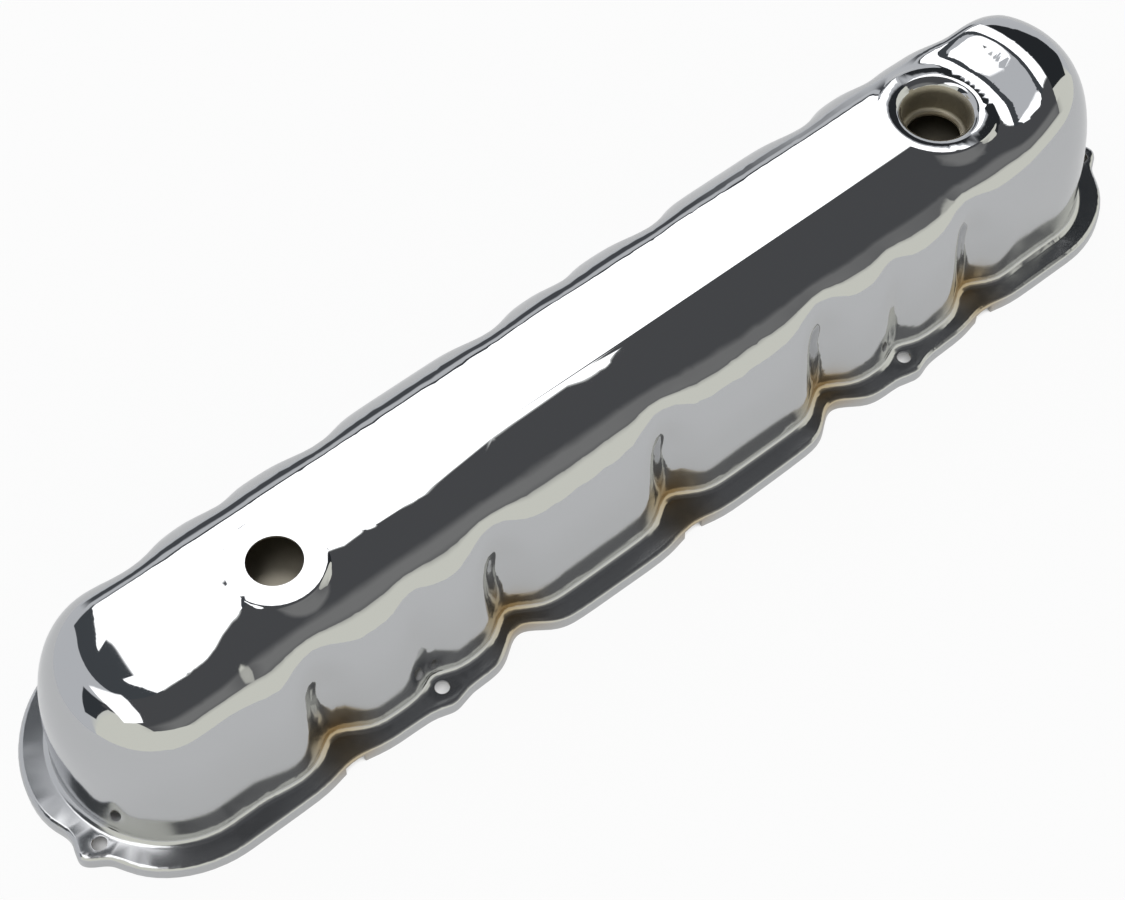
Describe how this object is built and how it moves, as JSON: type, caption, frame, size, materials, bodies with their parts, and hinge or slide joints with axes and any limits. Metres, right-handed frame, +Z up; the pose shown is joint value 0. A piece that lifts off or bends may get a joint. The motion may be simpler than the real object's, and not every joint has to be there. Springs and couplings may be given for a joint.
{
  "type": "engine valve cover",
  "caption": "Chromed stamped-steel valve cover for an in-line six-cylinder engine, with breather hole, filler neck and splash baffles.",
  "frame": {"origin": "middle of the cover in plan, level with the lower edge of the rim", "axes": "+X along the cover towards the filler neck, -Y towards the side with the closer bolt ears and the end ears, +Z up through the crown"},
  "size_m": [0.6526, 0.1445, 0.098],
  "materials": {
    "chrome_plate": "decorative chrome over drawn steel, mirror bright",
    "baffle_steel": "flash nickel over mild steel, dull"
  },
  "bodies": {
    "root": {"cover_shell": "chrome_plate", "breather_baffle": "baffle_steel", "filler_baffle": "baffle_steel"}
  },
  "joints": []
}
